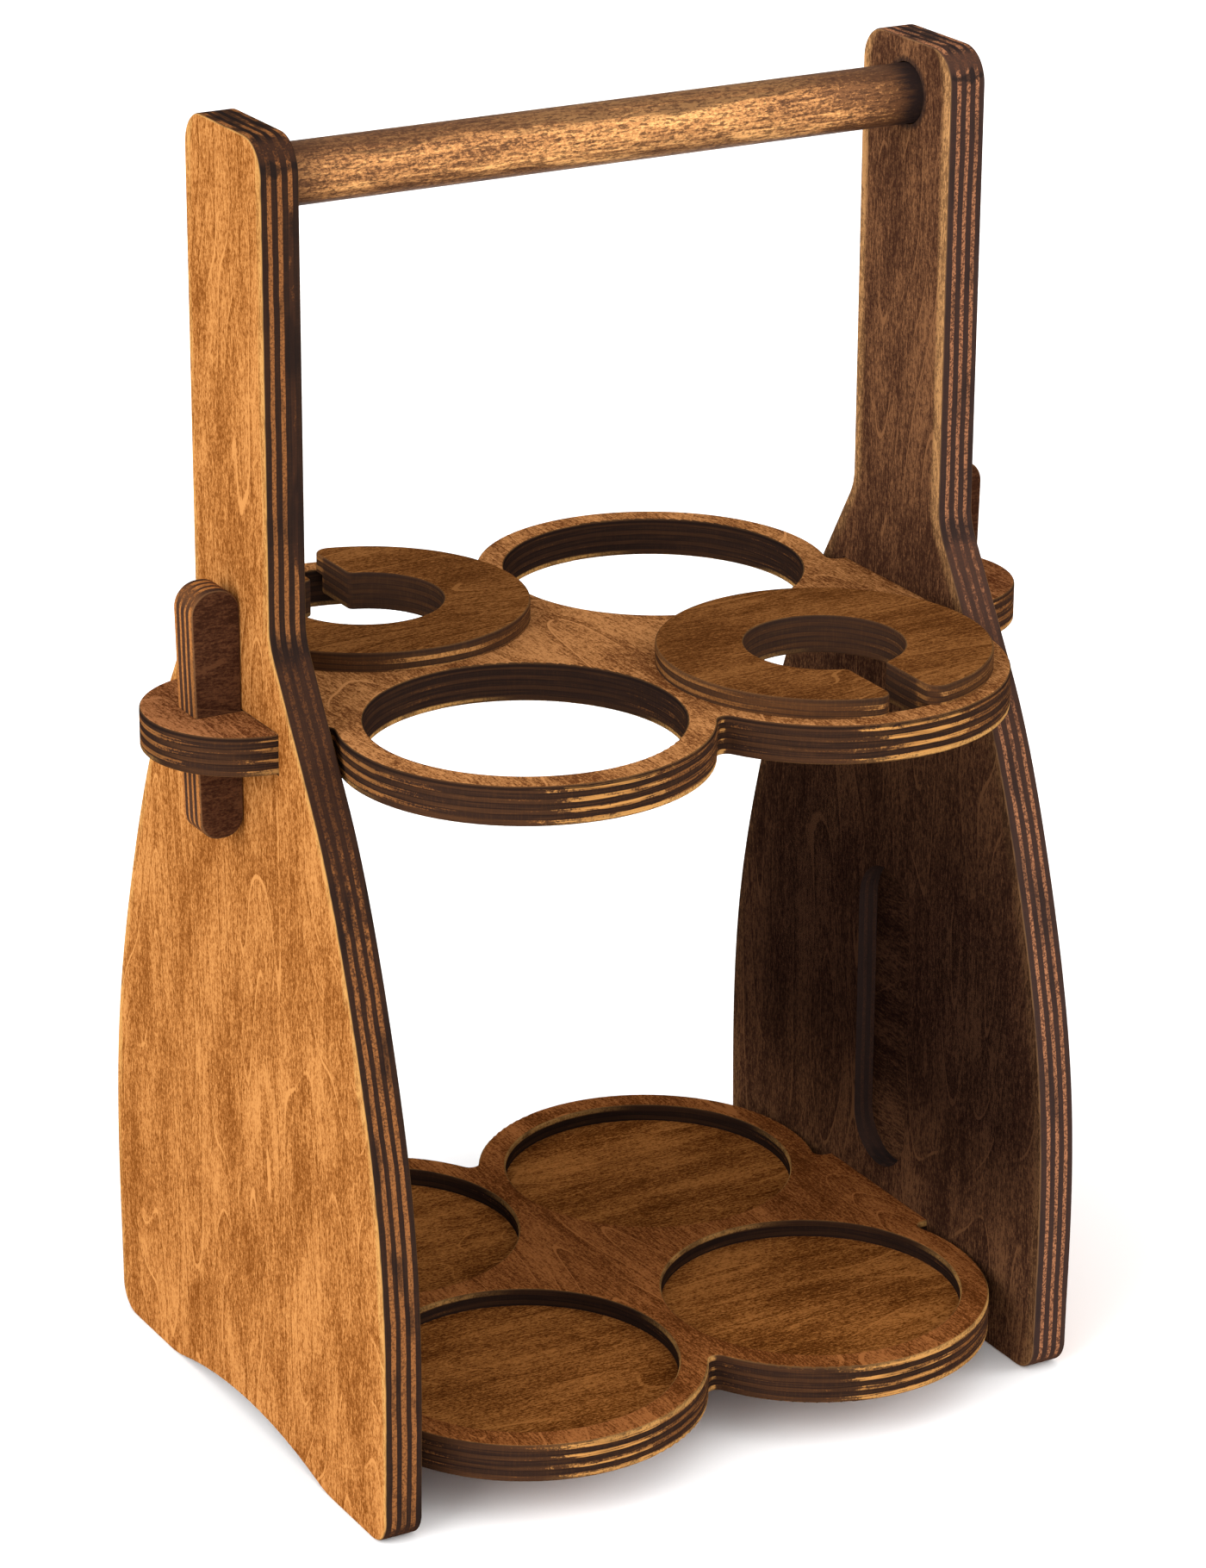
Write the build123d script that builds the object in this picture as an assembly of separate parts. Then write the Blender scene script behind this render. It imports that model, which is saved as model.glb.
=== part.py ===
"""Plywood bottle caddy, knocked together with tusk-tenon keys.

X runs along the handle from the left side panel to the right one, Y from the
front to the back and Z up. The origin is on the floor, below the middle.
"""
from build123d import *
from math import asin, degrees
import os

# Sheet stock and fits.
PLY = 10.6
TENON_FIT = 0.3
KEY_FIT = 0.3
ARRIS = 0.7
OVERRUN = 5.0

# The four lobes that the shelf and the tray share.
LOBE_PITCH = 88.4
LOBE_RADIUS = 48.4
LOBE_GAP = 1.05
NOTCH_RADIUS = 2.5

# Shelf with through tenons, hung this far below the kink of the side panels.
SHELF_DROP = 22.7
BOTTLE_HOLE_RADIUS = 40.9
TENON_WIDTH = 51.0
TAB_REACH = 23.65

# Tray with stopped tongues.
TRAY_TOP = 23.9
RECESS_RADIUS = 40.7
RECESS_DEPTH = 5.0
TONGUE_WIDTH = 51.0
TONGUE_LENGTH = 5.0

# Side panel outline.
PANEL_HEIGHT = 354.0
POST_WIDTH = 42.5
KINK_HEIGHT = 226.8
KINK_RADIUS = 14.0
BELLY_WIDTH = 160.6
FOOT_WIDTH = 159.6
HEAD_RADIUS = 9.2
FOOT_RADIUS = 8.0
ARCH_SPAN = 90.0
ARCH_RISE = 6.0
ARCH_BLEND_RADIUS = 30.0
# Half width as a share of the belly's, and height as a share of the kink's.
FLARE_SHARES = (
    (1.0, 0.15),
    (0.972, 0.37),
    (0.807, 0.613),
    (0.54, 0.839),
)

# Handle rod, in blind holes near the panel heads.
ROD_DIAMETER = 16.0
ROD_DROP = 14.6
ROD_SEAT_DEPTH = 6.0
ROD_FIT = 0.3

# Wedge keys that draw the panels against the shelf.
KEY_TOP_WIDTH = 13.6
KEY_FOOT_WIDTH = 12.0
KEY_ABOVE = 33.0
KEY_BELOW = 23.0
KEY_DRAW = 1.0
KEY_SEAT_FIT = 0.1
KEY_END_SHARE = 0.46

# Rebated discs, slotted for a stem and its foot.
FLANGE_RADIUS = 43.9
FLANGE_THICKNESS = 5.3
PLUG_FIT = 0.5
STEM_HOLE_RADIUS = 21.0
STEM_SLOT_WIDTH = 11.0
MOUTH_RADIUS = 4.0
THROAT_RADIUS = 2.0

# Round-ended tool recess in the right panel's inner face.
TOOL_RECESS_TOP = 121.0
TOOL_RECESS_LENGTH = 90.0
TOOL_RECESS_WIDTH = 26.0
TOOL_RECESS_DEPTH = 6.0

# Places worked out from the sizes above.
LOBE_OFFSET = LOBE_PITCH / 2
INNER_X = LOBE_OFFSET + LOBE_RADIUS + LOBE_GAP
OUTER_X = INNER_X + PLY
TAB_X = OUTER_X + TAB_REACH
SHELF_TOP = KINK_HEIGHT - SHELF_DROP
SHELF_BOTTOM = SHELF_TOP - PLY
ROD_HEIGHT = PANEL_HEIGHT - ROD_DROP
KEY_FOOT = SHELF_BOTTOM - KEY_BELOW
KEY_LENGTH = KEY_BELOW + PLY + KEY_ABOVE
KEY_X = OUTER_X + KEY_SEAT_FIT
KEY_TAPER = (KEY_TOP_WIDTH - KEY_FOOT_WIDTH) / KEY_LENGTH
KEY_WIDTH_AT_TAB = KEY_FOOT_WIDTH + KEY_TAPER * (KEY_BELOW + PLY)
ARCH_RADIUS = (ARCH_SPAN**2 / 4 + ARCH_RISE**2) / (2 * ARCH_RISE)
ARCH_ANGLE = degrees(asin(ARCH_SPAN / 2 / ARCH_RADIUS))
LOBE_CENTRES = [
    (x, y) for x in (-LOBE_OFFSET, LOBE_OFFSET) for y in (-LOBE_OFFSET, LOBE_OFFSET)
]


def lobed_outline():
    """Four round lobes joined in the middle, with their front and back notches eased."""
    outline = Rectangle(LOBE_PITCH, LOBE_PITCH)
    for place in LOBE_CENTRES:
        outline += Pos(*place) * Circle(LOBE_RADIUS)
    return outline


def eased_notches(outline):
    """Rounds the inner corners between the lobes and beside the tenons."""
    reach = LOBE_OFFSET + LOBE_RADIUS
    notches = [v for v in outline.vertices() if abs(v.X) < reach and is_inner(outline, v)]
    return fillet(notches, NOTCH_RADIUS)


def is_inner(outline, vertex):
    """Whether a corner points into the material: most of a ring around it is covered."""
    ring = Pos(vertex.X, vertex.Y) * Circle(NOTCH_RADIUS / 2)
    covered = (outline & ring).area
    return covered > ring.area * 0.55


def eased(solid, axis, *places):
    """The solid with its cut edges sanded round where they lie in these planes."""
    edges = ShapeList()
    for place in places:
        edges += solid.edges().filter_by_position(axis, place - ARRIS / 4, place + ARRIS / 4)
    return fillet(edges, ARRIS)


def lower_tray():
    """The floor plate: a lobed plate with four round recesses and a stopped tongue each side."""
    length = 2 * (INNER_X + TONGUE_LENGTH - TENON_FIT)
    outline = eased_notches(lobed_outline() + Rectangle(length, TONGUE_WIDTH))
    plate = extrude(Pos(0, 0, TRAY_TOP - PLY) * outline, PLY)
    for x, y in LOBE_CENTRES:
        floor = TRAY_TOP - RECESS_DEPTH
        cutter = extrude(Pos(x, y, floor) * Circle(RECESS_RADIUS), RECESS_DEPTH + OVERRUN)
        plate -= cutter
    return eased(plate, Axis.Z, TRAY_TOP - PLY, TRAY_TOP)


def tab_outline():
    """One long tenon through both panels, with a half-round end each side."""
    straight = TAB_X - TENON_WIDTH / 2
    outline = Rectangle(2 * straight, TENON_WIDTH)
    for x in (-straight, straight):
        outline += Pos(x, 0) * Circle(TENON_WIDTH / 2)
    return outline


def upper_shelf():
    """The lobed shelf with four bottle holes, and a keyed tenon through each panel."""
    outline = eased_notches(lobed_outline() + tab_outline())
    for place in LOBE_CENTRES:
        outline -= Pos(*place) * Circle(BOTTLE_HOLE_RADIUS)
    plate = extrude(Pos(0, 0, SHELF_BOTTOM) * outline, PLY)
    plate = eased(plate, Axis.Z, SHELF_BOTTOM, SHELF_TOP)
    inner = OUTER_X - KEY_DRAW
    outer = KEY_X + KEY_WIDTH_AT_TAB + KEY_SEAT_FIT
    mortise = Rectangle(outer - inner, PLY + 2 * KEY_FIT)
    for side in (-1, 1):
        middle = side * (inner + outer) / 2
        plate -= extrude(Pos(middle, 0, SHELF_BOTTOM) * mortise, PLY)
    return plate


def panel_outline():
    """The side's outline: foot arch, belly, flare, post and head, mirrored about its middle."""
    post = POST_WIDTH / 2
    foot = FOOT_WIDTH / 2
    flare = [(a * BELLY_WIDTH / 2, b * KINK_HEIGHT) for a, b in FLARE_SHARES]
    arch_top = ARCH_RISE - ARCH_RADIUS
    shoulder = flare[-1]
    with BuildSketch() as sketch:
        with BuildLine() as half:
            CenterArc((0, arch_top), ARCH_RADIUS, 90 - ARCH_ANGLE, ARCH_ANGLE)
            Line((ARCH_SPAN / 2, 0), (foot - FOOT_RADIUS, 0))
            CenterArc((foot - FOOT_RADIUS, FOOT_RADIUS), FOOT_RADIUS, -90, 90)
            Spline(
                (foot, FOOT_RADIUS),
                *flare,
                tangents=((0, 1), (post - shoulder[0], KINK_HEIGHT - shoulder[1])),
            )
            Polyline(shoulder, (post, KINK_HEIGHT), (post, PANEL_HEIGHT), (0, PANEL_HEIGHT))
            mirror(half.line, about=Plane.YZ)
        make_face()
        for across, up, radius in (
            (post, PANEL_HEIGHT, HEAD_RADIUS),
            (post, KINK_HEIGHT, KINK_RADIUS),
            (ARCH_SPAN / 2, 0, ARCH_BLEND_RADIUS),
        ):
            fillet(near(sketch.vertices(), across, up), radius)
    return sketch.sketch


def near(vertices, across, up):
    """The corner at this place and its twin on the other half."""
    return [v for v in vertices if abs(abs(v.X) - across) < ARRIS and abs(v.Y - up) < ARRIS]


def side_panel():
    """The right side: rod seat, shelf mortise, tray mortise."""
    panel = extrude(Plane.YZ.offset(INNER_X) * panel_outline(), PLY)
    panel = eased(panel, Axis.X, INNER_X, OUTER_X)
    rod_seat = Plane.YZ.offset(INNER_X - OVERRUN) * Pos(0, ROD_HEIGHT)
    panel -= extrude(rod_seat * Circle(ROD_DIAMETER / 2 + ROD_FIT), OVERRUN + ROD_SEAT_DEPTH)
    shelf_mortise = Plane.YZ.offset(INNER_X - OVERRUN) * Pos(0, SHELF_TOP - PLY / 2)
    opening = Rectangle(TENON_WIDTH + 2 * TENON_FIT, PLY + 2 * TENON_FIT)
    panel -= extrude(shelf_mortise * opening, PLY + 2 * OVERRUN)
    tray_mortise = Plane.YZ.offset(INNER_X - OVERRUN) * Pos(0, TRAY_TOP - PLY / 2)
    pocket = Rectangle(TONGUE_WIDTH + 2 * TENON_FIT, PLY + 2 * TENON_FIT)
    panel -= extrude(tray_mortise * pocket, OVERRUN + TONGUE_LENGTH)
    return panel


def tool_recess():
    """The round-ended hollow that the right panel has on its inner face."""
    middle = TOOL_RECESS_TOP - TOOL_RECESS_LENGTH / 2
    place = Plane.YZ.offset(INNER_X - OVERRUN) * Pos(0, middle)
    hollow = SlotOverall(TOOL_RECESS_LENGTH, TOOL_RECESS_WIDTH, rotation=90)
    return extrude(place * hollow, OVERRUN + TOOL_RECESS_DEPTH)


def handle_rod():
    """A plain dowel that reaches the floor of each blind hole."""
    length = 2 * (INNER_X + ROD_SEAT_DEPTH)
    return Pos(0, 0, ROD_HEIGHT) * Rot(0, 90, 0) * Cylinder(ROD_DIAMETER / 2, length)


def key():
    """The right wedge: straight on the panel, tapered outside, round at both ends."""
    with BuildSketch(Plane.XZ.offset(-PLY / 2)) as sketch:
        with BuildLine():
            Polyline(
                (KEY_X, KEY_FOOT),
                (KEY_X + KEY_FOOT_WIDTH, KEY_FOOT),
                (KEY_X + KEY_TOP_WIDTH, KEY_FOOT + KEY_LENGTH),
                (KEY_X, KEY_FOOT + KEY_LENGTH),
                close=True,
            )
        make_face()
        fillet(sketch.vertices().sort_by(Axis.Y)[:2], KEY_FOOT_WIDTH * KEY_END_SHARE)
        fillet(sketch.vertices().sort_by(Axis.Y)[-2:], KEY_TOP_WIDTH * KEY_END_SHARE)
    return eased(extrude(sketch.sketch, PLY), Axis.Y, -PLY / 2, PLY / 2)


def slotted_disc(radius):
    """A round disc with a stem hole, open to the front by a slot with a rounded mouth."""
    disc = Circle(radius) - Circle(STEM_HOLE_RADIUS)
    disc -= Pos(0, -radius) * Rectangle(STEM_SLOT_WIDTH, 2 * radius)
    mouth = disc.vertices().sort_by(Axis.Y)[:2]
    disc = fillet(mouth, MOUTH_RADIUS)
    throat = [v for v in disc.vertices() if abs(Vector(v).length - STEM_HOLE_RADIUS) < ARRIS]
    return fillet(throat, THROAT_RADIUS)


def glass_holder():
    """The front disc: a flange that rests on the shelf, over a plug that fits a round hole."""
    flange_top = SHELF_TOP + FLANGE_THICKNESS
    plug_foot = flange_top - PLY
    disc = extrude(Pos(0, 0, SHELF_TOP) * slotted_disc(FLANGE_RADIUS), FLANGE_THICKNESS)
    disc += extrude(Pos(0, 0, plug_foot) * slotted_disc(BOTTLE_HOLE_RADIUS - PLUG_FIT), PLY)
    return eased(disc, Axis.Z, plug_foot, flange_top)


def save(name, solid):
    """One file for one sub-part."""
    solid.label = name
    export_step(solid, f"parts/{name}.step")


os.makedirs("parts", exist_ok=True)
panel = side_panel()
wedge = key()
disc = glass_holder()
save("right_side_panel", panel - tool_recess())
save("left_side_panel", mirror(panel, Plane.YZ))
save("handle_rod", handle_rod())
save("upper_shelf", upper_shelf())
save("lower_tray", lower_tray())
save("right_key", wedge)
save("left_key", mirror(wedge, Plane.YZ))
save("front_glass_holder", Pos(LOBE_OFFSET, -LOBE_OFFSET) * disc)
save("rear_glass_holder", Pos(-LOBE_OFFSET, LOBE_OFFSET) * Rot(0, 0, 180) * disc)
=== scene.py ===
"""Stained plywood bottle caddy on a pale floor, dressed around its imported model.

Lengths are in metres in the model's own frame: X along the handle from the left
side to the right one, Y from the front to the back, Z up from the floor.
"""
import math

import bpy
from mathutils import Matrix, Vector

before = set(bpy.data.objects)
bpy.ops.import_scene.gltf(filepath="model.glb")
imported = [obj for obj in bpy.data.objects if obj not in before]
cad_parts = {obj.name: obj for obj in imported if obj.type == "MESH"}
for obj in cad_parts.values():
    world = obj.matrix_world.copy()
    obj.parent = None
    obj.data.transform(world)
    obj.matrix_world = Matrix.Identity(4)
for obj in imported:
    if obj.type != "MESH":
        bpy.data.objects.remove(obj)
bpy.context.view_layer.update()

X, Y, Z = range(3)
MM = 0.001

# The sheet: five inner plies of equal thickness between two face veneers.
PLY = 10.6 * MM
CORE_PLY = 1.4 * MM
CORE_HALF = 2.5 * CORE_PLY

# Where each sheet's middle plane lies along its thickness.
PANEL_MIDDLE = 0.09895
SHELF_MIDDLE = 0.1988
TRAY_MIDDLE = 0.0186
DISC_MIDDLE = 0.2041
KEY_MIDDLE = 0.0

# Heights on the side panels, and how far apart the middles of a plate's lobes are.
KINK_HEIGHT = 0.2268
ROD_HEIGHT = 0.3394
PANEL_HEIGHT = 0.354
LOBE_PITCH = 0.0884

# The side panel's outline as a curve: its steps, and the half depth that counts as one.
OUTLINE_STEPS = 60
OUTLINE_REACH = 0.1

# Level directions: edges are worn, with painted highlight, most where they face the
# first one or its opposite, and the rims and roundings of plates are rubbed, with
# painted highlight, most where they face the second one or its opposite.
WEAR_AND_HIGHLIGHT_WAY = (0.87, -0.50, 0.0)
RUB_AND_HIGHLIGHT_WAY = (0.64, -0.77, 0.0)

# Ring lines: radians of their sine for one unit of the slow noise, and how far
# the darker side is ahead of the pale crest.
RING_TURNS = 80.0
RING_LEAD = 0.7

# How deep the bumps in the surfaces are.
BUMP_DEPTH = 0.10 * MM

# The photograph's view: degrees, metres, and millimetres of lens and sensor.
VIEW_YAW = -29.666
VIEW_PITCH = 20.994
VIEW_ROLL = 0.31
VIEW_PLACE = (-0.63267, -1.11702, 0.65584)
VIEW_LENS = 119.05
SENSOR = 36.0

# The surroundings: the floor's half width, the brightest direction, the cosines
# to it between which they brighten, and the light's strength at both.
FLOOR_REACH = 14.0
BRIGHT_WAY = (-0.55, -0.78, 0.30)
DIM_COSINE, BRIGHT_COSINE = -0.7, 0.8
DIM_STRENGTH, BRIGHT_STRENGTH = 0.45, 1.85

# Stain tones: light, middle and deep.
HONEY = ((0.410, 0.180, 0.053), (0.270, 0.101, 0.024), (0.135, 0.041, 0.007))
# Painted shade: the tones of the panels' inner sides and the right one's recess, the stain
# darkened for the shade they lie in.
SHADED_INSIDE = ((0.165, 0.073, 0.031), (0.083, 0.0355, 0.0168), (0.036, 0.0145, 0.008))
TAWNY = ((0.330, 0.146, 0.053), (0.205, 0.083, 0.027), (0.085, 0.028, 0.009))
RUSSET = ((0.230, 0.082, 0.024), (0.140, 0.045, 0.012), (0.060, 0.017, 0.004))
DISC_TAN = ((0.178, 0.071, 0.020), (0.108, 0.039, 0.010), (0.050, 0.016, 0.004))
UMBER = ((0.246, 0.094, 0.024), (0.136, 0.046, 0.010), (0.053, 0.015, 0.003))
MAHOGANY = ((0.080, 0.032, 0.014), (0.050, 0.019, 0.009), (0.028, 0.010, 0.005))
ROD_TAN = ((0.730, 0.370, 0.130), (0.440, 0.195, 0.067), (0.150, 0.062, 0.024))

# Single tones: gold rims (wear and painted highlight), the rod's dark parts and burnt end (with
# painted shade).
GOLD = (0.420, 0.215, 0.065)
BROWN_GOLD = (0.380, 0.195, 0.075)
ROD_DARK_AND_SHADE = (0.048, 0.020, 0.010)
ROD_BURNT_AND_SHADE = (0.012, 0.008, 0.008)

# Tones that multiply a face: painted shade on a panel's inner side low down,
# and a plate's middle and tabs.
LOW_INSIDE_SHADE = (0.20, 0.195, 0.240)
MIDDLE_TINT = (1.12, 1.12, 1.08)
TAB_TINT = (0.87, 0.80, 0.84)


class Finish:
    """One finish's node tree, with a short call for each kind of node that it needs."""

    def __init__(self, name):
        """A new material, with the model's own coordinates and normals at hand."""
        self.material = bpy.data.materials.new(name)
        self.material.use_nodes = True
        self.tree = self.material.node_tree
        self.shader = self.tree.nodes["Principled BSDF"]
        coordinate = self.tree.nodes.new("ShaderNodeTexCoord")
        self.place = coordinate.outputs["Object"]
        self.normal = coordinate.outputs["Normal"]

    def put(self, socket, value):
        """Joins a socket to an output, or sets its own value."""
        if isinstance(value, bpy.types.NodeSocket):
            self.tree.links.new(value, socket)
        elif isinstance(value, tuple) and len(value) == 3 and socket.type == "RGBA":
            socket.default_value = (*value, 1.0)
        else:
            socket.default_value = value

    def sum(self, kind, *terms):
        """A sum in numbers: kind is the operation's own name."""
        node = self.tree.nodes.new("ShaderNodeMath")
        node.operation = kind
        for socket, term in zip(node.inputs, terms):
            self.put(socket, term)
        return node.outputs[0]

    def size(self, value):
        """The value without its sign."""
        return self.sum("ABSOLUTE", value)

    def less(self, first, second):
        """The first value less the second."""
        return self.sum("SUBTRACT", first, second)

    def add(self, start, first, second):
        """The start plus the first value times the second."""
        return self.sum("MULTIPLY_ADD", first, second, start)

    def both(self, first, *others):
        """The product of all the values."""
        for other in others:
            first = self.sum("MULTIPLY", first, other)
        return first

    def slide(self, share, start, end):
        """A straight change: the start plus the share times the way to the end."""
        return self.add(start, share, end - start)

    def sway(self, value, noise, width):
        """The value plus the noise's swing about a half, times a width."""
        return self.add(value, self.less(noise, 0.5), width)

    def mixed(self, *parts):
        """A half, plus each noise's swing about a half times its weight."""
        total = 0.5
        for weight, noise in parts:
            total = self.sway(total, noise, weight)
        return total

    def distance(self, first, second):
        """The root of the sum of two lengths' squares."""
        squares = self.sum("ADD", self.both(first, first), self.both(second, second))
        return self.sum("SQRT", squares)

    def part(self, vector, axis):
        """A vector's part along an axis."""
        node = self.tree.nodes.new("ShaderNodeSeparateXYZ")
        self.put(node.inputs[0], vector)
        return node.outputs[axis]

    def at(self, axis):
        """The place along an axis."""
        return self.part(self.place, axis)

    def faces(self, axis):
        """How squarely the surface faces up an axis: the normal's part along it."""
        return self.part(self.normal, axis)

    def squarely(self, way):
        """How squarely the surface faces a direction or its opposite: the cosine's size."""
        node = self.tree.nodes.new("ShaderNodeVectorMath")
        node.operation = "DOT_PRODUCT"
        self.put(node.inputs[0], self.normal)
        self.put(node.inputs[1], way)
        return self.size(node.outputs["Value"])

    def grained(self, grain, along, wide, shift, detail, roughness, distortion=0.0):
        """A noise with features this long along the grain and this wide across, in mm.

        It is read at the place divided by those lengths, plus the shift.
        """
        factors = [1.0 / (wide * MM)] * 3
        factors[grain] = 1.0 / (along * MM)
        spot = self.tree.nodes.new("ShaderNodeVectorMath")
        spot.operation = "MULTIPLY_ADD"
        for socket, value in zip(spot.inputs, (self.place, tuple(factors), shift)):
            self.put(socket, value)
        node = self.tree.nodes.new("ShaderNodeTexNoise")
        self.put(node.inputs["Vector"], spot.outputs[0])
        self.put(node.inputs["Scale"], 1.0)
        self.put(node.inputs["Detail"], detail)
        self.put(node.inputs["Roughness"], roughness)
        self.put(node.inputs["Distortion"], distortion)
        return node.outputs[0]

    def ease(self, value, low, high, start=0.0, end=1.0):
        """A smooth step from start at low to end at high."""
        node = self.tree.nodes.new("ShaderNodeMapRange")
        node.interpolation_type = "SMOOTHSTEP"
        for socket, item in zip(node.inputs, (value, low, high, start, end)):
            self.put(socket, item)
        return node.outputs[0]

    def blend(self, share, first, second, kind="MIX"):
        """The first tone where the share is none, and the second where it is one."""
        node = self.tree.nodes.new("ShaderNodeMix")
        node.data_type = "RGBA"
        node.blend_type = kind
        self.put(node.inputs[0], share)
        self.put(node.inputs[6], first)
        self.put(node.inputs[7], second)
        return node.outputs[2]

    def curve(self, value, points):
        """A smooth curve through points, for a value between 0 and 1."""
        node = self.tree.nodes.new("ShaderNodeFloatCurve")
        line = node.mapping.curves[0]
        line.points[0].location, line.points[1].location = points[0], points[-1]
        for point in points[1:-1]:
            line.points.new(*point)
        node.mapping.update()
        self.put(node.inputs["Value"], value)
        return node.outputs[0]

    def surface(self, tone, roughness, gloss, height, strength):
        """Joins tone, roughness, gloss and bumps of a height to the material."""
        bump = self.tree.nodes.new("ShaderNodeBump")
        self.put(bump.inputs["Height"], height)
        self.put(bump.inputs["Distance"], BUMP_DEPTH)
        self.put(bump.inputs["Strength"], strength)
        self.put(self.shader.inputs["Base Color"], tone)
        self.put(self.shader.inputs["Roughness"], roughness)
        self.put(self.shader.inputs["Specular IOR Level"], gloss)
        self.put(self.shader.inputs["Normal"], bump.outputs[0])
        return self.material


class Sheet(Finish):
    """A plywood sheet's finish, with the measures that its marks go by.

    thick and grain are the axes of the thickness and of the face grain, and middle
    is where the middle plane lies along the thickness.
    """

    def __init__(self, name, thick, grain, middle, edge, seed):
        """The depth is the place along the thickness, less the middle.

        The side is none on the half towards minus and one on the half towards plus.
        """
        super().__init__(name)
        self.thick, self.grain, self.cross = thick, grain, 3 - thick - grain
        self.middle, self.edge, self.seed = middle, edge, seed
        self.height = self.at(Z)
        self.depth = self.less(self.at(thick), middle)
        self.side = self.ease(self.depth, -1.0 * MM, 1.0 * MM)


def shifted(seed):
    """Where in a noise a piece's wood lies: three lengths that grow with its seed."""
    return (seed, seed * 1.7, seed * 2.3)


def veneer(finish, grain, seed, figured, arched=1.0):
    """The figure of stained birch as one number: blotches, bands, ring lines, fibres, grit.

    Each is a noise stretched along the grain. The ring lines are thin pale crests
    of a sine of a slow noise, with a darker side, so that they close into arches.
    They show on the lighter blotches, as far as arched says.
    """
    shift = shifted(seed)
    blotch = finish.grained(grain, 40.0, 17.0, shift, 3.0, 0.55)
    figure = finish.grained(grain, 70.0, 4.0, shift, 2.0, 0.6, 0.4)
    fibre = finish.grained(grain, 3.4, 0.55, shift, 2.0, 0.7)
    grit = finish.grained(grain, 1.0, 0.60, shift, 2.0, 0.8)
    warp = finish.grained(grain, 150.0, 34.0, shift, 1.0, 0.5)
    phase = finish.both(warp, RING_TURNS)
    crest = finish.ease(finish.sum("SINE", phase), 0.975, 1.0, 0.0, 0.80)
    ahead = finish.sum("SINE", finish.sum("ADD", phase, RING_LEAD))
    trough = finish.ease(ahead, 0.30, 1.0, 0.0, -0.22)
    shown = finish.ease(blotch, 0.40, 0.56, 0.0, arched)
    ring = finish.both(finish.sum("ADD", crest, trough), shown)
    shade = finish.mixed((1.5, blotch), (figured, figure), (1.7, fibre), (2.1, grit))
    return finish.sum("ADD", shade, ring), grit, figure


def stain(finish, shade, tones, low=0.05, high=0.55):
    """The deep tone, eased to the middle one from low to high, then to the light one."""
    light, middle, deep = tones
    tone = finish.blend(finish.ease(shade, low, high), deep, middle)
    return finish.blend(finish.ease(shade, 0.45, 0.95), tone, light)


def plies(sheet, shift):
    """The plies by depth: a cosine that turns once in two plies, moved by a slow noise.

    With the cosine come two shares: one on the five inner plies, and one on those
    whose fibres run across the face grain, where the cosine is up.
    """
    edge = sheet.edge
    wander = sheet.grained(sheet.thick, 9.0, 18.0, shift, 2.0, 0.5)
    waved = sheet.sway(sheet.depth, wander, 0.9 * MM)
    wave = sheet.sum("COSINE", sheet.both(waved, math.pi / CORE_PLY))
    if edge["low"]:
        wave = sheet.sum("ADD", wave, sheet.ease(sheet.height, 0.165, 0.195, edge["low"], 0.0))
    core = sheet.ease(sheet.size(waved), CORE_HALF - 0.1 * MM, CORE_HALF + 0.1 * MM, 1.0, 0.0)
    up = sheet.ease(wave, -0.22 - edge["wide"], 0.22 - edge["wide"])
    return wave, core, sheet.both(up, core)


def bored(sheet):
    """One on the walls of holes and recesses, none on a sheet's outer edge.

    On a plate that is inside the bore's radius from a lobe's middle, and on a panel
    near its middle line, low down, where its long recess is.
    """
    radius = sheet.edge["bore"]
    limits = (radius - 1.0 * MM, radius + 1.0 * MM, 1.0, 0.0)
    if sheet.thick == Z:
        away = [sheet.less(sheet.size(sheet.at(way)), LOBE_PITCH / 2) for way in (X, Y)]
        return sheet.ease(sheet.distance(*away), *limits)
    if radius:
        low = sheet.ease(sheet.height, 0.15, 0.16, 1.0, 0.0)
        return sheet.both(sheet.ease(sheet.size(sheet.at(Y)), *limits), low)
    return None


def blots(sheet, smudge):
    """Dark blots up the post, on the half towards plus, where the smudges are strong."""
    return sheet.both(
        sheet.ease(sheet.height, 0.235, 0.255), sheet.ease(sheet.height, 0.325, 0.340, 1.0, 0.0),
        sheet.ease(sheet.depth, 1.4 * MM, 2.2 * MM),
        sheet.ease(smudge, 0.43, 0.54, 0.0, sheet.edge["blot"]))


def dark_plies(sheet, facing, worn, crosswise, frontal, line, hatch):
    """The plies' stain: smooth where cut along the fibres, dull where cut across.

    Over it lie the brown that the plies along the grain keep at front and back,
    fine lines along and through the plies, and the wear.
    """
    edge = sheet.edge
    tone = sheet.blend(sheet.ease(facing, 0.15, 0.70), edge["smooth"], edge["dull"])
    shares = [sheet.ease(line, 0.46, 0.66, 0.0, 0.12),
              sheet.ease(hatch, 0.48, 0.68, 0.0, edge["hatch"])]
    if edge["keep"]:
        shown = sheet.ease(frontal, 0.10, 0.60, 0.0, edge["keep"])
        shares.insert(0, sheet.both(sheet.less(1.0, crosswise), shown))
    low, high = edge["worn"]
    shares.append(sheet.ease(worn, low + 0.5, high + 0.5))
    for share in shares:
        tone = sheet.blend(share, tone, edge["fleck"])
    return tone


def pale_plies(sheet, tone, solid, frontal, grit):
    """Pale, gritty end grain where the solid share is high.

    On plates and discs it is fainter on faces to the sides, and on the tabs.
    """
    edge = sheet.edge
    low, high = edge["solid"]
    share = sheet.ease(solid, low + 0.5, high + 0.5)
    if sheet.thick == Z:
        share = sheet.both(share, sheet.ease(frontal, 0.20, 0.80, 0.20, 1.0),
                           sheet.ease(sheet.size(sheet.at(X)), 0.100, 0.107, 1.0, 0.55))
    pale = sheet.blend(sheet.ease(grit, 0.38, 0.60, *edge["grit"]), edge["fleck"], edge["end"])
    return sheet.blend(share, tone, pale)


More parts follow.
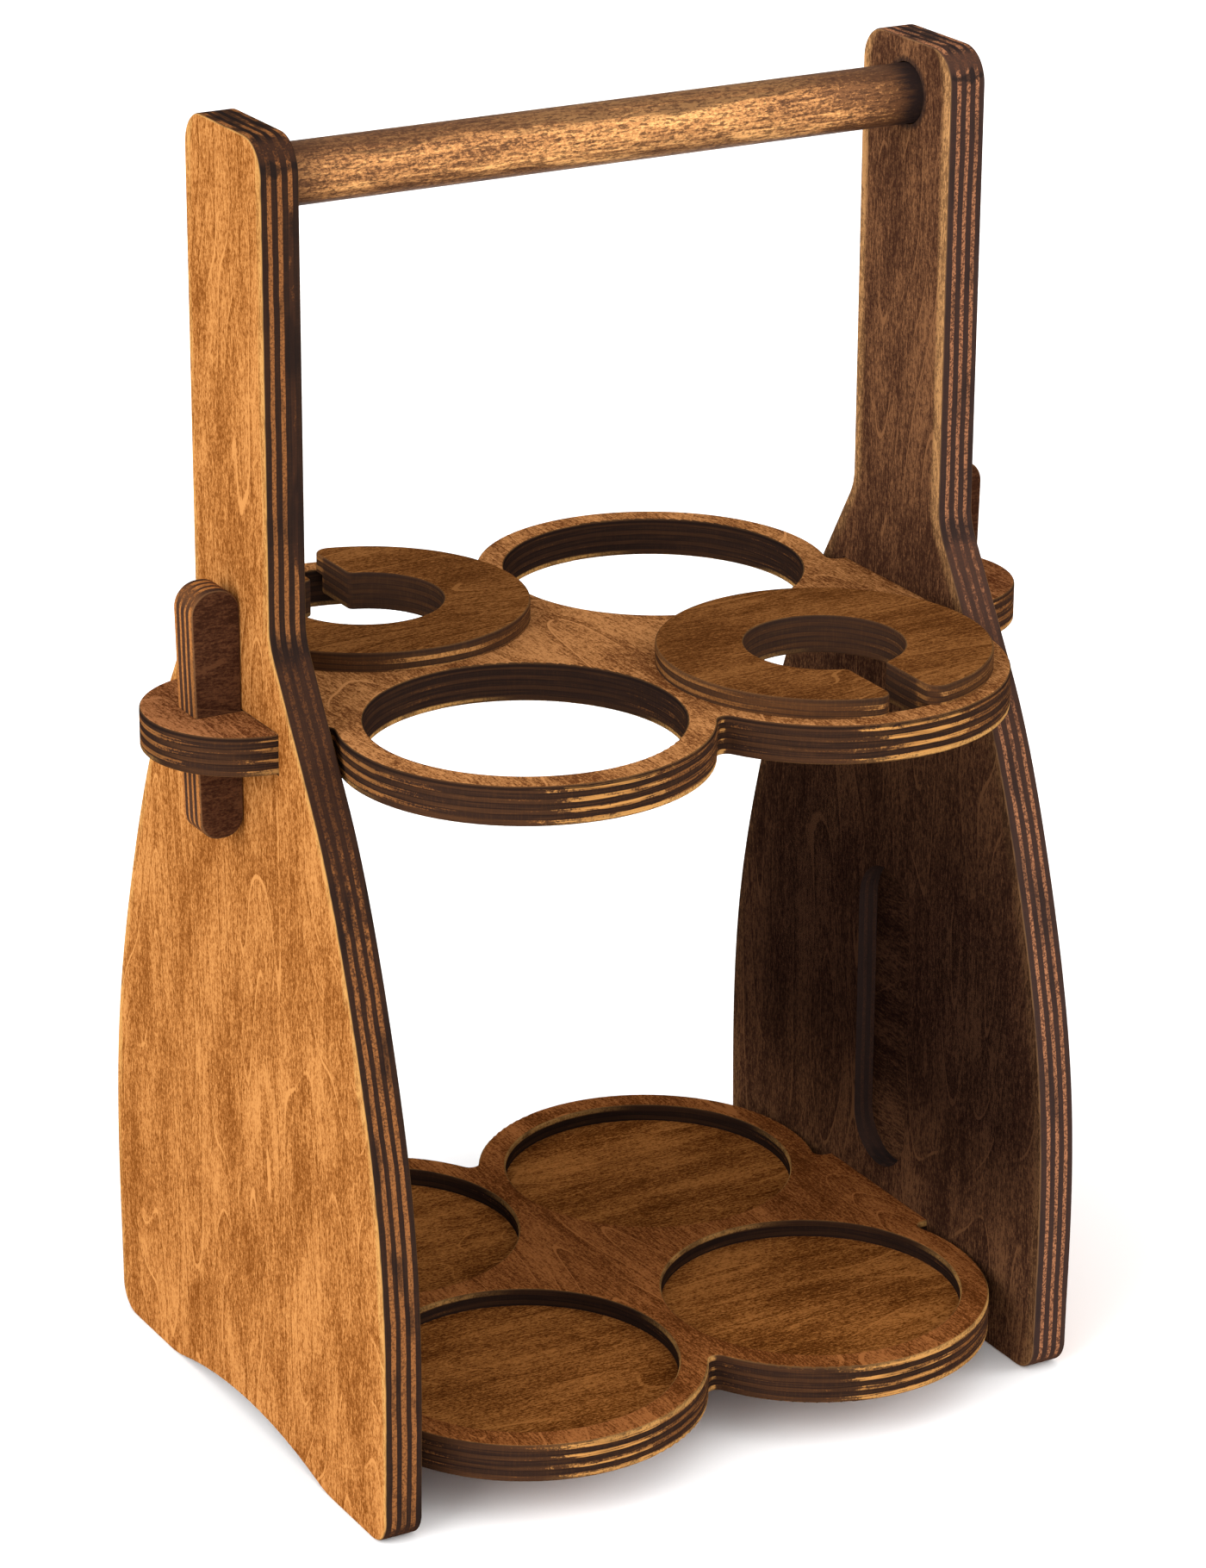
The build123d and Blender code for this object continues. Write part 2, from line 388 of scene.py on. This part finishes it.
def ply_edge(sheet):
    """The sheet's edge: plies by turns along and across the face grain.

    A ply cut across its fibres is pale and gritty, one cut along them dark and
    smooth, and both go dull where the edge runs askew to the grain. On the walls of
    holes and recesses painted shade holds the pale grain back and darkens the tone.
    Facing is how squarely the edge cuts a ply's fibres: the normal's part along them.
    """
    edge, thick = sheet.edge, sheet.thick
    shift = (sheet.seed * 1.3, sheet.seed * 2.1, sheet.seed)
    wave, core, crosswise = plies(sheet, shift)
    along, across = (sheet.size(sheet.faces(way)) for way in (sheet.grain, sheet.cross))
    facing = sheet.add(along, sheet.less(across, along), crosswise)
    bore = bored(sheet)
    # Painted shade in holes and recesses: less pale end grain there.
    if bore is not None:
        facing = sheet.add(facing, sheet.both(facing, bore), -0.3)
    fleck = sheet.grained(thick, 0.60, 0.60, shift, 2.0, 0.75)
    chip = sheet.grained(thick, 1.2, 3.5, shift, 1.0, 0.6)
    line = sheet.grained(thick, 0.36, 16.0, shift, 1.0, 0.65)
    hatch = sheet.grained(thick, 4.0, 0.50, shift, 1.0, 0.6)
    smudge = sheet.grained(thick, 5.0, 22.0, shift, 2.0, 0.6)
    noises = (fleck, chip, line)
    # More gold speckle where the edge faces this direction: wear, with painted highlight.
    worn = sheet.add(facing, sheet.squarely(WEAR_AND_HIGHLIGHT_WAY), edge["lean"])
    worn = sheet.sum("ADD", sheet.mixed(*zip(edge["speckle"], noises)), worn)
    solid = sheet.sum("ADD", sheet.mixed(*zip(edge["patch"], noises)), facing)
    if edge["blot"]:
        blot = blots(sheet, smudge)
        worn, solid = sheet.less(worn, blot), sheet.less(solid, blot)
    frontal = sheet.size(sheet.faces(Y))
    tone = dark_plies(sheet, facing, worn, crosswise, frontal, line, hatch)
    # Where the plies keep their brown, the pale ones' grit is drawn out along them.
    tone = pale_plies(sheet, tone, solid, frontal, line if edge["keep"] else fleck)
    if edge["glue"]:
        glued = sheet.ease(sheet.size(wave), 0.10, 0.60, edge["glue"], 0.0)
        tone = sheet.blend(sheet.both(glued, core), tone, edge["burnt_and_shade"])
    tone = sheet.blend(sheet.ease(smudge, 0.52, 0.70, 0.0, edge["smudge"]), tone, edge["burnt_and_shade"])
    # Painted shade on the walls of holes and recesses.
    if bore is not None:
        tone = sheet.blend(sheet.both(bore, 0.45), tone, edge["burnt_and_shade"])
    rough = sheet.add(sheet.both(facing, 0.5), fleck, 0.5)
    return tone, rough, fleck


def outline(node, middle):
    """Half depth of a side panel at even heights, as shares for a curve.

    It is where a ray from in front of the panel, going back, first meets it.
    """
    points = []
    for step in range(OUTLINE_STEPS + 1):
        share = step / OUTLINE_STEPS
        height = min(max(share * PANEL_HEIGHT, 0.5 * MM), PANEL_HEIGHT - 0.5 * MM)
        found, spot, _, _ = node.ray_cast((middle, -0.2, height), (0.0, 1.0, 0.0))
        points.append((share, -spot.y / OUTLINE_REACH if found else 0.0))
    return points


def sheet_face(sheet, shade, faces, sunk):
    """The face's stain: a tone for each side, and one for faces sunk towards the middle.

    A sunk face shows an inner ply, whose figure runs across. The shelf and the tray
    are lighter in the middle and deeper at the sides.
    """
    face = stain(sheet, shade, faces[0])
    if faces[1] is not faces[0]:
        face = sheet.blend(sheet.side, face, stain(sheet, shade, faces[1]))
    if sunk is not None:
        crossed, _, _ = veneer(sheet, sheet.cross, sheet.seed + 5.0, 0.9, 0.5)
        inner = sheet.ease(sheet.size(sheet.depth), 2.0 * MM, 3.0 * MM, 1.0, 0.0)
        face = sheet.blend(inner, face, stain(sheet, crossed, sunk))
    if sheet.thick == Z and sheet.grain == Y:
        out = sheet.ease(sheet.size(sheet.at(X)), 0.085, 0.120)
        tint = sheet.blend(out, MIDDLE_TINT, TAB_TINT)
        face = sheet.blend(1.0, face, tint, "MULTIPLY")
    return face


def panel_face(sheet, face, shade, figure, fleck, shape, gold):
    """A side panel's rubbed strip, painted shade low on its inside and the dark ring at the rod.

    The strip goes by the inset: the outline's half depth at this height, less the
    distance from the middle line, moved by the figure. Painted shade darkens the
    inside low down, a little less at the very foot and near the outline. The ring,
    painted shade where the rod meets the panel and partly a burn, goes by the
    distance from the rod's middle, moved by the fleck.
    """
    edge, height = sheet.edge, sheet.height
    half = sheet.curve(sheet.sum("DIVIDE", height, PANEL_HEIGHT), shape)
    inset = sheet.less(sheet.both(half, OUTLINE_REACH), sheet.size(sheet.at(Y)))
    inset = sheet.sway(inset, figure, edge["ragged"])
    strip = sheet.both(sheet.ease(inset, *edge["strip"], 1.0, 0.0),
                       sheet.ease(height, 0.190, 0.240, edge["strip_low"], 1.0),
                       sheet.ease(shade, 0.20, 0.80, 0.30, 0.95))
    face = sheet.blend(strip, face, gold)
    ends = (0.0, 1.0) if sheet.middle < 0 else (1.0, 0.0)
    inward = sheet.ease(sheet.faces(sheet.thick), -0.5, 0.5, *ends)
    # Painted shade on the inner side low down, a little less at the foot and near the outline.
    low_inside_shade = sheet.both(inward, sheet.ease(height, 0.10, 0.27, 1.0, 0.0),
                        sheet.ease(height, 0.015, 0.070, 0.35, 1.0),
                        sheet.ease(inset, 3.0 * MM, 22.0 * MM, 0.86, 1.0))
    face = sheet.blend(low_inside_shade, face, LOW_INSIDE_SHADE, "MULTIPLY")
    # A dark ring round the rod on the inner side: painted shade where the rod meets the panel, and
    # partly a burn.
    seat = sheet.distance(sheet.less(height, ROD_HEIGHT), sheet.at(Y))
    seat = sheet.sway(seat, fleck, 1.5 * MM)
    seat = sheet.both(inward, sheet.ease(seat, 8.6 * MM, 10.4 * MM, 0.75, 0.0))
    return sheet.blend(seat, face, edge["burnt_and_shade"])


def panel_rim(sheet, rim, rub):
    """Dark bands at their heights, and painted shade on the crown where the edge faces up.

    A band fades with the distance from its height, moved by the slow noise.
    """
    for place, half_width, strength in sheet.edge["scorches"]:
        away = sheet.sway(sheet.size(sheet.less(sheet.height, place)), rub, 9.0 * MM)
        band = sheet.ease(away, half_width * 0.4, half_width * 1.7, strength, 0.0)
        rim = sheet.blend(band, rim, sheet.edge["burnt_and_shade"])
    # Painted shade on the crown, where the edge faces up.
    crown = sheet.both(sheet.ease(sheet.faces(Z), 0.80, 0.97),
                       sheet.ease(rub, 0.40, 0.56, 0.0, 0.85))
    return sheet.blend(crown, rim, sheet.edge["burnt_and_shade"])


def plywood(sheet, faces, gold, rims, arrises, sunk=None, shape=None):
    """A whole sheet: veneer where it faces out, plies on its edges, rims gold from wear and
    painted highlight.

    faces holds the tones of the side towards minus and of the side towards plus.
    rims and arrises say how far the edge and its rounding go gold on each side, as rubbed wear and
    painted highlight; the gold is strongest where rims, and plates' roundings, face the
    rub-and-highlight direction.
    """
    edge = sheet.edge
    rim, rim_height, fleck = ply_edge(sheet)
    shade, face_height, figure = veneer(sheet, sheet.grain, sheet.seed, edge["figured"])
    face = sheet_face(sheet, shade, faces, sunk)
    rub = sheet.grained(sheet.thick, 4.0, 9.0, (sheet.seed,) * 3, 2.0, 0.6)
    rubbed = sheet.ease(rub, 0.30, 0.56, 0.35, 1.0)
    if shape is not None:
        face = panel_face(sheet, face, shade, figure, fleck, shape, gold)
        rim = panel_rim(sheet, rim, rub)
    # Gold rims where they face this direction: rubbed wear, with painted highlight.
    near = sheet.squarely(RUB_AND_HIGHLIGHT_WAY)
    if any(rims):
        lit = sheet.both(sheet.ease(near, 0.40, 0.90), sheet.ease(fleck, 0.36, 0.54, 0.35, 1.0))
        reach = sheet.ease(sheet.size(sheet.depth), PLY / 2 - 1.7 * MM, PLY / 2 - 1.2 * MM)
        amount = sheet.slide(sheet.side, *rims)
        rim = sheet.blend(sheet.both(reach, sheet.both(lit, rubbed), amount), rim, gold)
    if edge["lined"]:
        under = sheet.size(sheet.less(sheet.depth, PLY / 2 - 0.75 * MM))
        under = sheet.ease(under, 0.25 * MM, 0.45 * MM, edge["lined"], 0.0)
        rim = sheet.blend(under, rim, edge["burnt_and_shade"])
    flat = sheet.size(sheet.faces(sheet.thick))
    is_face = sheet.ease(flat, 0.80, 0.93)
    arris = sheet.both(sheet.ease(flat, 0.45, 0.75), sheet.ease(flat, 0.90, 0.98, 1.0, 0.0))
    # On plates the gold roundings follow the same direction, as painted highlight with the wear.
    if sheet.thick == Z:
        arris = sheet.both(arris, sheet.ease(near, 0.20, 0.90, 0.25, 1.0))
    tone = sheet.blend(is_face, rim, face)
    arris = sheet.both(arris, rubbed, sheet.slide(sheet.side, *arrises))
    tone = sheet.blend(arris, tone, gold)
    roughness = sheet.ease(face_height, 0.3, 0.7, 0.50, 0.66)
    bumps = sheet.blend(is_face, rim_height, face_height)
    return sheet.surface(tone, roughness, 0.0, bumps, 0.6)


def turned_rod(name, seed):
    """The dowel: grain along X, short dark pores, rubbed gold speckles, dark ends.

    It grows lighter from the left end to past the middle, and deeper again near the
    right end. Painted shade darkens it above and below; the pores are dark; towards
    both ends stain and painted shade darken it where it meets the panels, and at the
    right end a burn and painted shade make it near-black.
    """
    finish = Finish(name)
    shift = shifted(seed)
    figure = finish.grained(X, 34.0, 5.0, shift, 3.0, 0.6)
    streak = finish.grained(X, 14.0, 1.0, shift, 2.0, 0.6)
    pore = finish.grained(X, 2.4, 0.60, shift, 2.0, 0.75)
    speckle = finish.grained(X, 0.9, 0.6, shift, 2.0, 0.7)
    across = finish.at(X)
    shade = finish.mixed((1.5, figure), (1.3, streak), (1.6, speckle))
    shade = finish.sum("ADD", shade, finish.ease(across, -90.0 * MM, 30.0 * MM, -0.15, 0.20))
    shade = finish.sum("ADD", shade, finish.ease(across, 40.0 * MM, 85.0 * MM, 0.0, -0.60))
    tone = stain(finish, shade, ROD_TAN, 0.10, 0.50)
    up = finish.sway(finish.sway(finish.faces(Z), figure, 1.6), streak, 0.8)
    end = finish.sway(finish.size(across), figure, 14.0 * MM)
    # Painted shade above and below, dark pores, and ends darkened by stain and painted shade at
    # the panels.
    for share in (finish.ease(up, 0.45, 0.85, 0.0, 0.80),
                  finish.ease(up, -0.85, -0.05, 0.70, 0.0),
                  finish.ease(pore, 0.48, 0.60, 0.0, 0.75),
                  finish.ease(end, 76.0 * MM, 92.0 * MM, 0.0, 0.70)):
        tone = finish.blend(share, tone, ROD_DARK_AND_SHADE)
    # At the right end a burn and painted shade, where it meets the panel, go near-black.
    right_end = finish.sway(across, streak, 9.0 * MM)
    burnt_and_shade = finish.ease(right_end, 85.0 * MM, 92.0 * MM, 0.0, 0.92)
    tone = finish.blend(burnt_and_shade, tone, ROD_BURNT_AND_SHADE)
    roughness = finish.ease(pore, 0.4, 0.6, 0.40, 0.52)
    return finish.surface(tone, roughness, 0.05, finish.add(speckle, pore, -0.6), 0.5)


def dress(node, material):
    """Gives one model node its finish."""
    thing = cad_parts[node]
    thing.data.materials.clear()
    thing.data.materials.append(material)


# A sheet edge's marks, as they are unless a sheet says otherwise.
EDGE_MARKS = {
    "wide": 0.0,  # how far the plies across the face grain spread into the others
    "low": 0.0,  # how much further they spread low down on a panel
    "lean": 0.0,  # how much more an edge is worn, with painted highlight, where it faces that direction
    "speckle": (1.7, 0.3),  # weights of the fleck, chip and line noises in the wear
    "patch": (0.10, 0.16),  # their weights in the pale end grain
    "grit": (0.15, 1.0),  # how pale the end grain is between its grains and on them
    "hatch": 0.10,  # strength of fine lines through the plies
    "keep": 0.0,  # how brown the plies along the grain stay at the front and back
    "glue": 0.0,  # strength of the lines between plies
    "smudge": 0.35,  # strength of the dark smudges
    "blot": 0.0,  # strength of the dark blots up the post
    "lined": 0.0,  # strength of the dark line under the veneer towards plus
    "bore": 0.0,  # a bore's radius from its lobe's middle, or a recess's half width; inside it the walls get painted shade
    "strip": (),  # insets at which the rubbed strip starts to fade and is gone
    "strip_low": 1.0,  # the strip's strength low down
    "ragged": 9.0 * MM,  # how far the figure moves the strip's border
    "scorches": (),  # dark bands: height, half width and strength
    "figured": 0.5,  # weight of the bands in the face's veneer
}


def edge_tones(end, fleck, dull, smooth, burnt_and_shade, worn, solid, **marks):
    """A sheet edge's tones, the limits of its wear and pale end grain, and its marks."""
    return {**EDGE_MARKS, "end": end, "fleck": fleck, "dull": dull, "smooth": smooth,
            "burnt_and_shade": burnt_and_shade, "worn": worn, "solid": solid, **marks}


# Each edge's darkest tone serves for burns, smudges, glue lines and dark bands, and as painted
# shade in holes, on crowns and round the rod.
LEFT_EDGE = edge_tones(
    end=(0.225, 0.086, 0.027), fleck=(0.075, 0.029, 0.012), dull=(0.030, 0.014, 0.009),
    smooth=(0.020, 0.011, 0.008), burnt_and_shade=(0.012, 0.008, 0.007),
    worn=(0.74, 1.00), solid=(0.90, 0.97), wide=-0.10, low=0.25, smudge=0.70, blot=0.5,
    strip=(0.8 * MM, 3.0 * MM),
    scorches=((KINK_HEIGHT - 2.0 * MM, 3.0 * MM, 0.70), (PANEL_HEIGHT - 7.0 * MM, 1.0 * MM, 0.80)))
RIGHT_EDGE = edge_tones(
    end=(0.280, 0.117, 0.055), fleck=(0.072, 0.031, 0.018), dull=(0.046, 0.023, 0.016),
    smooth=(0.030, 0.017, 0.014), burnt_and_shade=(0.016, 0.011, 0.010),
    worn=(0.62, 0.92), solid=(0.84, 0.93), wide=-0.16, smudge=0.50, bore=15.5 * MM,
    grit=(-0.15, 1.0), strip=(2.2 * MM, 5.0 * MM), strip_low=0.20, ragged=3.5 * MM,
    scorches=((KINK_HEIGHT - 2.0 * MM, 2.8 * MM, 0.65), (PANEL_HEIGHT - 6.8 * MM, 0.7 * MM, 0.85)))
PLATE_EDGE = edge_tones(
    end=(0.410, 0.192, 0.055), fleck=(0.150, 0.058, 0.018), dull=(0.024, 0.012, 0.008),
    smooth=(0.019, 0.010, 0.007), burnt_and_shade=(0.010, 0.006, 0.005),
    worn=(1.02, 1.30), solid=(0.950, 0.995), lean=0.35, grit=(0.25, 1.0),
    glue=0.60, keep=0.12, hatch=0.05, speckle=(0.9, 0.3, 1.0), patch=(0.10, 0.15, 0.16))
SHELF_EDGE = {**PLATE_EDGE, "bore": 44.0 * MM, "lined": 0.8}
TRAY_EDGE = {**PLATE_EDGE, "bore": 46.0 * MM}
DISC_EDGE = edge_tones(
    end=(0.340, 0.155, 0.048), fleck=(0.150, 0.062, 0.019), dull=(0.058, 0.024, 0.010),
    smooth=(0.036, 0.017, 0.009), burnt_and_shade=(0.014, 0.009, 0.008),
    worn=(0.90, 1.30), solid=(0.950, 0.985), lean=0.30, bore=36.0 * MM, lined=0.4,
    glue=0.55, speckle=(1.0, 0.2, 0.8), patch=(0.05, 0.06, 0.14))
KEY_EDGE = edge_tones(
    end=(0.310, 0.122, 0.034), fleck=(0.190, 0.072, 0.022), dull=(0.080, 0.034, 0.015),
    smooth=(0.036, 0.018, 0.012), burnt_and_shade=(0.024, 0.013, 0.009),
    worn=(0.70, 1.00), solid=(0.90, 0.97), wide=0.35, figured=0.2)

# Both side panels have the left one's outline.
side_shape = outline(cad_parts["left_side_panel"], -PANEL_MIDDLE)
# Each panel's inner side takes the shaded tones, as painted shade.
dress("left_side_panel", plywood(
    Sheet("left_panel_ply", X, Z, -PANEL_MIDDLE, LEFT_EDGE, 3.1), (HONEY, SHADED_INSIDE), GOLD,
    rims=(0.0, 0.0), arrises=(0.7, 0.1), shape=side_shape))
dress("right_side_panel", plywood(
    Sheet("right_panel_ply", X, Z, PANEL_MIDDLE, RIGHT_EDGE, 8.4), (SHADED_INSIDE, HONEY), BROWN_GOLD,
    rims=(0.0, 0.0), arrises=(0.2, 0.4), sunk=SHADED_INSIDE, shape=side_shape))
dress("upper_shelf", plywood(
    Sheet("shelf_ply", Z, Y, SHELF_MIDDLE, SHELF_EDGE, 12.7), (TAWNY, TAWNY), GOLD,
    rims=(0.9, 0.0), arrises=(0.5, 0.2)))
dress("lower_tray", plywood(
    Sheet("tray_ply", Z, Y, TRAY_MIDDLE, TRAY_EDGE, 17.9), (RUSSET, RUSSET), GOLD,
    rims=(0.7, 0.8), arrises=(0.4, 0.45), sunk=UMBER))
for node, name, seed in (("front_glass_holder", "front_disc_ply", 21.3),
                         ("rear_glass_holder", "rear_disc_ply", 26.6)):
    dress(node, plywood(
        Sheet(name, Z, X, DISC_MIDDLE, DISC_EDGE, seed), (DISC_TAN, DISC_TAN), GOLD,
        rims=(0.3, 0.0), arrises=(0.15, 0.15)))
for node, name, seed in (("left_key", "left_key_ply", 31.2), ("right_key", "right_key_ply", 36.5)):
    dress(node, plywood(
        Sheet(name, Y, X, KEY_MIDDLE, KEY_EDGE, seed), (MAHOGANY, MAHOGANY), BROWN_GOLD,
        rims=(0.0, 0.0), arrises=(0.12, 0.12)))
dress("handle_rod", turned_rod("rod_wood", 41.8))


def floor():
    """A flat pale sheet, well past the view on every side: a square at z = 0."""
    mesh = bpy.data.meshes.new("floor")
    corners = [(FLOOR_REACH * x, FLOOR_REACH * y, 0)
               for x, y in ((-1, -1), (1, -1), (1, 1), (-1, 1))]
    mesh.from_pydata(corners, [], [(0, 1, 2, 3)])
    sheet = bpy.data.objects.new("floor", mesh)
    bpy.context.scene.collection.objects.link(sheet)
    paper = bpy.data.materials.new("pale_paper")
    paper.use_nodes = True
    shader = paper.node_tree.nodes["Principled BSDF"]
    shader.inputs["Base Color"].default_value = (0.94, 0.935, 0.935, 1.0)
    shader.inputs["Roughness"].default_value = 0.9
    shader.inputs["Specular IOR Level"].default_value = 0.0
    mesh.materials.append(paper)


def distant_light(name, towards, power, spread):
    """A very large softbox far away: even light from one side, with soft shadows.

    Its energy is its power times pi, and its spread is its width in degrees.
    """
    data = bpy.data.lights.new(name, "SUN")
    data.energy = power * math.pi
    data.angle = math.radians(spread)
    lamp = bpy.data.objects.new(name, data)
    bpy.context.scene.collection.objects.link(lamp)
    lamp.rotation_mode = "QUATERNION"
    lamp.rotation_quaternion = Vector(towards).to_track_quat("Z", "Y")


def surroundings():
    """Pale walls all round, brightest at the front left and dimmer behind.

    The strength is a smooth step of the cosine to the brightest direction.
    """
    world = bpy.data.worlds.new("studio")
    bpy.context.scene.world = world
    world.use_nodes = True
    tree = world.node_tree
    backdrop = tree.nodes["Background"]
    backdrop.inputs["Color"].default_value = (1.0, 1.0, 1.0, 1.0)
    way = tree.nodes.new("ShaderNodeTexCoord").outputs["Generated"]
    turn = tree.nodes.new("ShaderNodeVectorMath")
    turn.operation = "DOT_PRODUCT"
    tree.links.new(way, turn.inputs[0])
    turn.inputs[1].default_value = BRIGHT_WAY
    fade = tree.nodes.new("ShaderNodeMapRange")
    fade.interpolation_type = "SMOOTHSTEP"
    steps = (DIM_COSINE, BRIGHT_COSINE, DIM_STRENGTH, BRIGHT_STRENGTH)
    for socket, value in zip(list(fade.inputs)[1:5], steps):
        socket.default_value = value
    tree.links.new(turn.outputs["Value"], fade.inputs[0])
    tree.links.new(fade.outputs[0], backdrop.inputs["Strength"])
    bpy.context.scene.view_settings.view_transform = "Standard"


def camera():
    """The photograph's view: yaw about Z, pitch down, then a slight roll."""
    yaw, pitch, roll = (math.radians(v) for v in (VIEW_YAW, VIEW_PITCH, VIEW_ROLL))
    ahead = Vector((-math.sin(yaw) * math.cos(pitch), math.cos(yaw) * math.cos(pitch),
                    -math.sin(pitch)))
    level = ahead.cross(Vector((0, 0, 1))).normalized()
    upright = level.cross(ahead)
    right = math.cos(roll) * level + math.sin(roll) * upright
    up = math.cos(roll) * upright - math.sin(roll) * level
    data = bpy.data.cameras.new("view")
    data.sensor_width = SENSOR
    data.lens = VIEW_LENS
    view = bpy.data.objects.new("view", data)
    bpy.context.scene.collection.objects.link(view)
    turn = Matrix((right, up, -ahead)).transposed()
    view.matrix_world = Matrix.Translation(VIEW_PLACE) @ turn.to_4x4()
    bpy.context.scene.camera = view


floor()
surroundings()
distant_light("left_softbox", (-0.90, -0.20, 0.35), power=0.8, spread=50.0)
distant_light("right_softbox", (0.80, -0.50, 0.40), power=0.35, spread=30.0)
camera()
